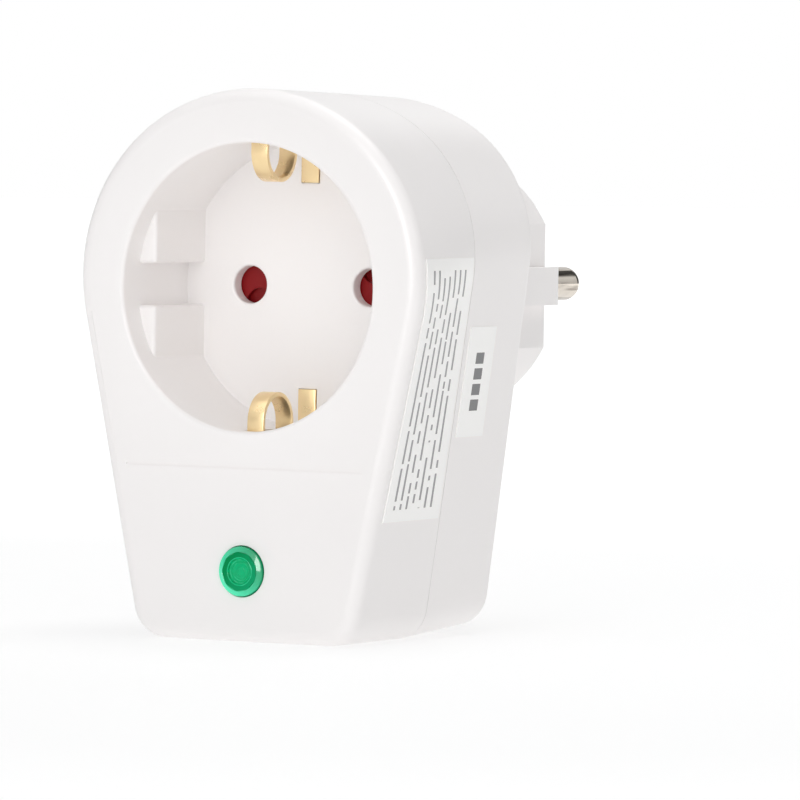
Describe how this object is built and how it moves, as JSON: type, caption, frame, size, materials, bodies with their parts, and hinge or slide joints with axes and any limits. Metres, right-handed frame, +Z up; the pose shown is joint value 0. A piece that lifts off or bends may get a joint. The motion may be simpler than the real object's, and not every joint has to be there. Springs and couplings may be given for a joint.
{
  "type": "thermal protection plug",
  "caption": "White plug-in adapter with an earthed round-pin plug, a shuttered round socket recess and a green indicator lens.",
  "frame": {"origin": "middle of the box at the base, on which the adapter stands", "axes": "+Y along the plug's pins, away from the socket; +Z up along the case; the socket faces -Y"},
  "size_m": [0.0537, 0.0756, 0.0751],
  "materials": {
    "white_shell": "smooth satin moulded, white",
    "white_inner": "moulded, white",
    "shutter_red": "moulded, dark red",
    "lens_green": "clear green, faceted inside",
    "lamp_glass": "clear bulb",
    "nickel": "nickel plated, polished",
    "brass": "stamped strip, bright",
    "steel": "zinc plated",
    "tinned_wire": "tinned",
    "board_tan": "phenolic board",
    "varistor_blue": "epoxy coated disc",
    "fuse_white": "glazed ceramic body",
    "resistor_tan": "lacquered ceramic body",
    "paper_white": "coated paper, stuck on"
  },
  "bodies": {
    "case": {"board_screw_left": "steel", "board_screw_right": "steel", "carrier_screw_left": "steel", "carrier_screw_right": "steel", "case_screw_left": "steel", "case_screw_right": "steel", "circuit_board": "board_tan", "contact_carrier": "white_inner", "date_label": "paper_white", "earth_bridge": "brass", "earth_clip_bottom": "brass", "earth_clip_top": "brass", "earth_rivet_bottom": "brass", "earth_rivet_top": "brass", "front_shell": "white_shell", "indicator_lamp": "lamp_glass", "indicator_lens": "lens_green", "lamp_lead_left": "tinned_wire", "lamp_lead_right": "tinned_wire", "live_link": "brass", "live_pin": "nickel", "live_receptacle": "brass", "neutral_link": "brass", "neutral_pin": "nickel", "neutral_receptacle": "brass", "plug_earth_bottom": "brass", "plug_earth_top": "brass", "rear_shell": "white_shell", "resistor": "resistor_tan", "shutter_spring": "steel", "side_label": "paper_white", "thermal_fuse": "fuse_white", "varistor": "varistor_blue"},
    "shutter": {"shutter": "shutter_red"}
  },
  "joints": [
    {"name": "shutter_turn", "type": "hinge", "parent": "case", "child": "shutter", "pos_m": [0, -0.0168, 0.0481], "axis": [0, 1, 0], "range_deg": [0, 36], "stiffness_Nm_per_rad": 0.001, "springref_deg": -57.3}
  ]
}
